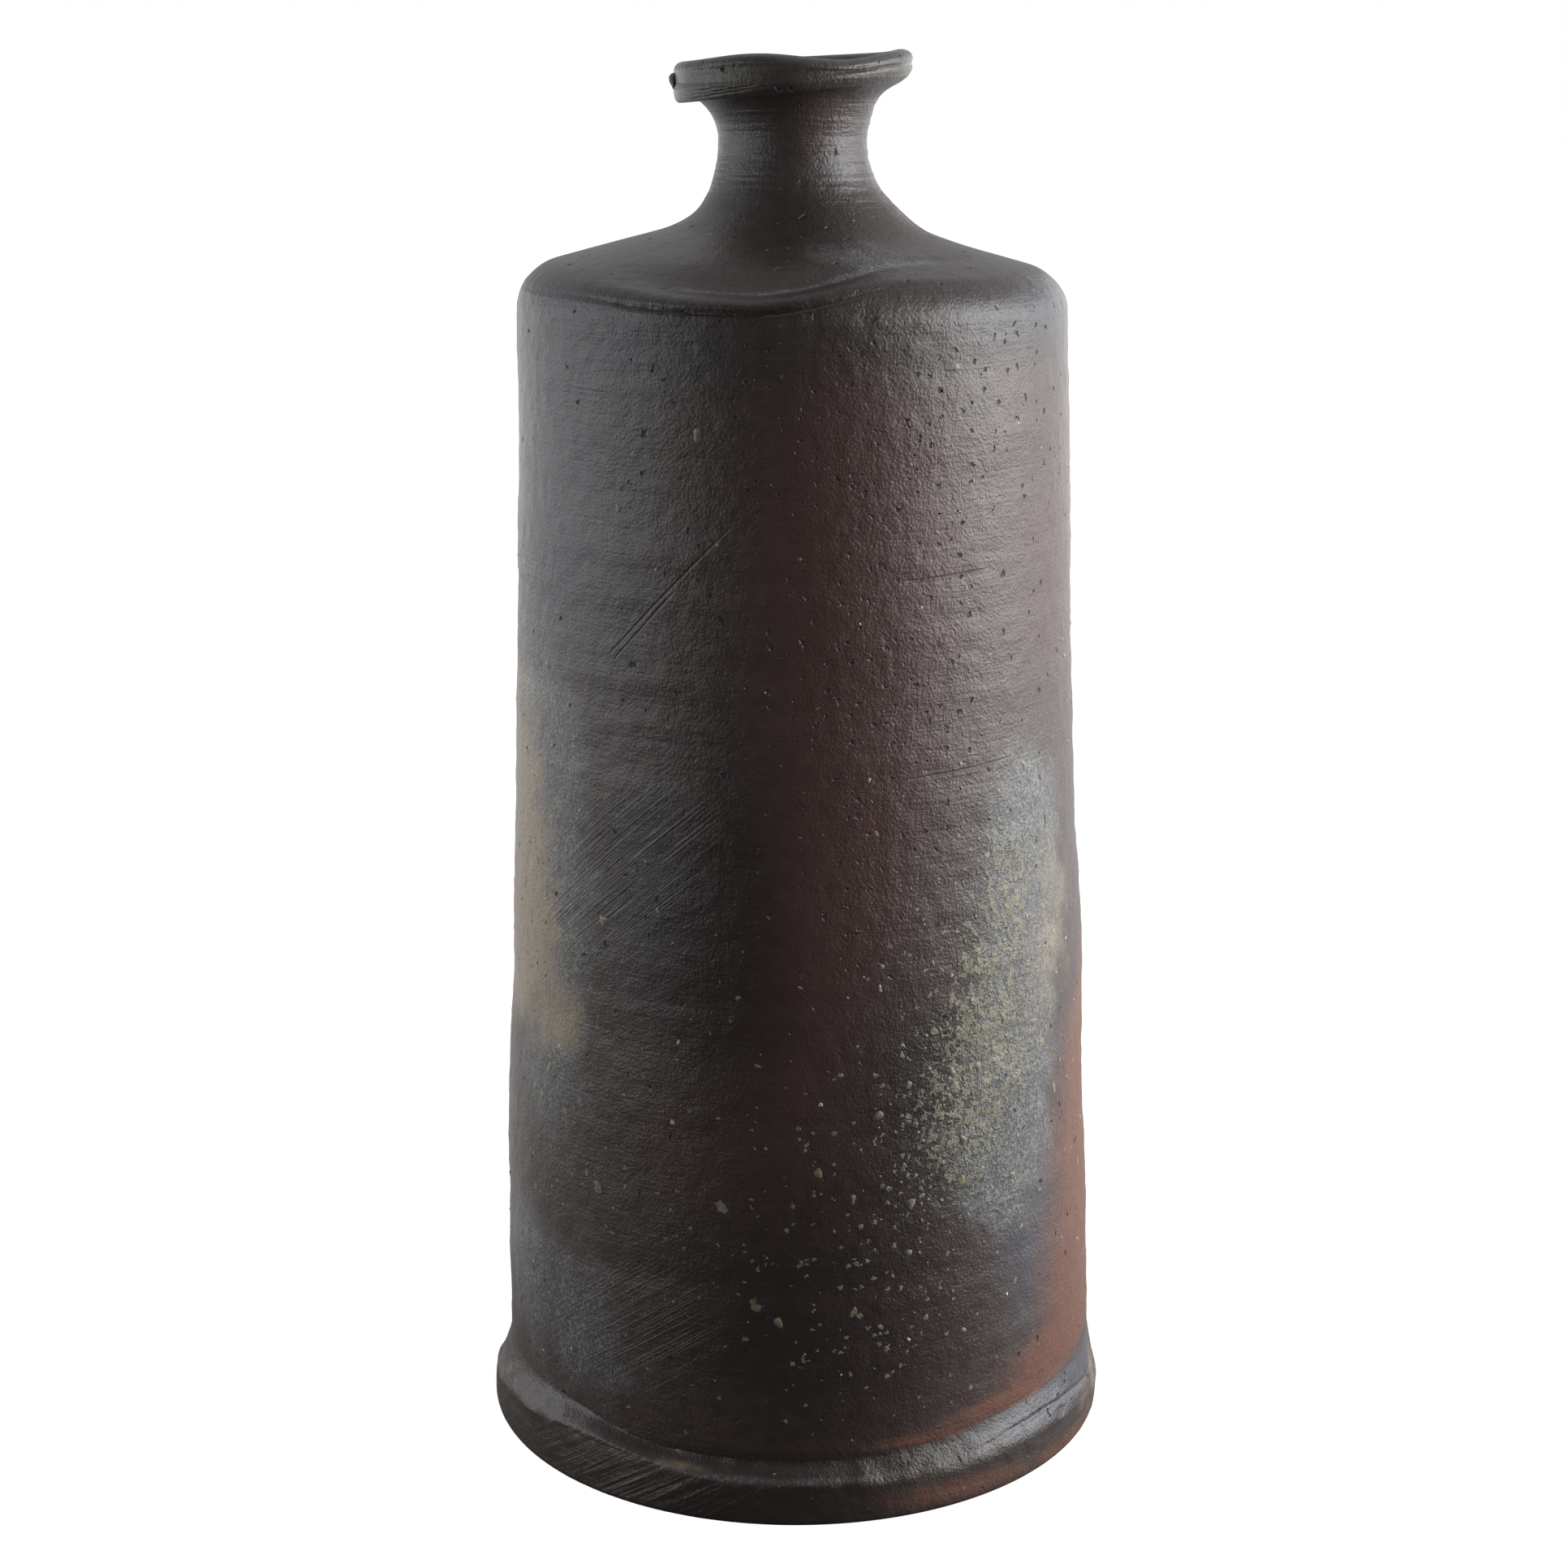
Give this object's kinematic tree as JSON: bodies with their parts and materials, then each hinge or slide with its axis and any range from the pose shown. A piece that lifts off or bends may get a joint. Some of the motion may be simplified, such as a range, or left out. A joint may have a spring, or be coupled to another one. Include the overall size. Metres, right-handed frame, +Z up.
{
  "type": "sake bottle",
  "caption": "Tall tapering stoneware sake bottle with a stepped foot band, a pressed shoulder, a waisted neck and a rippled flaring lip.",
  "frame": {"origin": "centre of the foot on the ground", "axes": "+Z up the bottle's axis to the mouth, -Y to the front with the pressed hollow, +X to the rim's high side"},
  "size_m": [0.0998, 0.0998, 0.215],
  "materials": {
    "fired_clay": "unglazed wood-fired stoneware, dark brown to grey, with a dull sheen",
    "bare_clay": "unglazed red-brown stoneware, dry and rough",
    "ash_glaze": "natural wood-ash glaze in grey-green and ochre spots",
    "kiln_grit": "fused dark grit"
  },
  "bodies": {
    "root": {"base_slab": "bare_clay", "foot_band": "fired_clay", "wall": "fired_clay", "shoulder": "fired_clay", "neck": "fired_clay", "mouth_lip": "fired_clay", "kiln_crumb": "kiln_grit"}
  },
  "joints": []
}
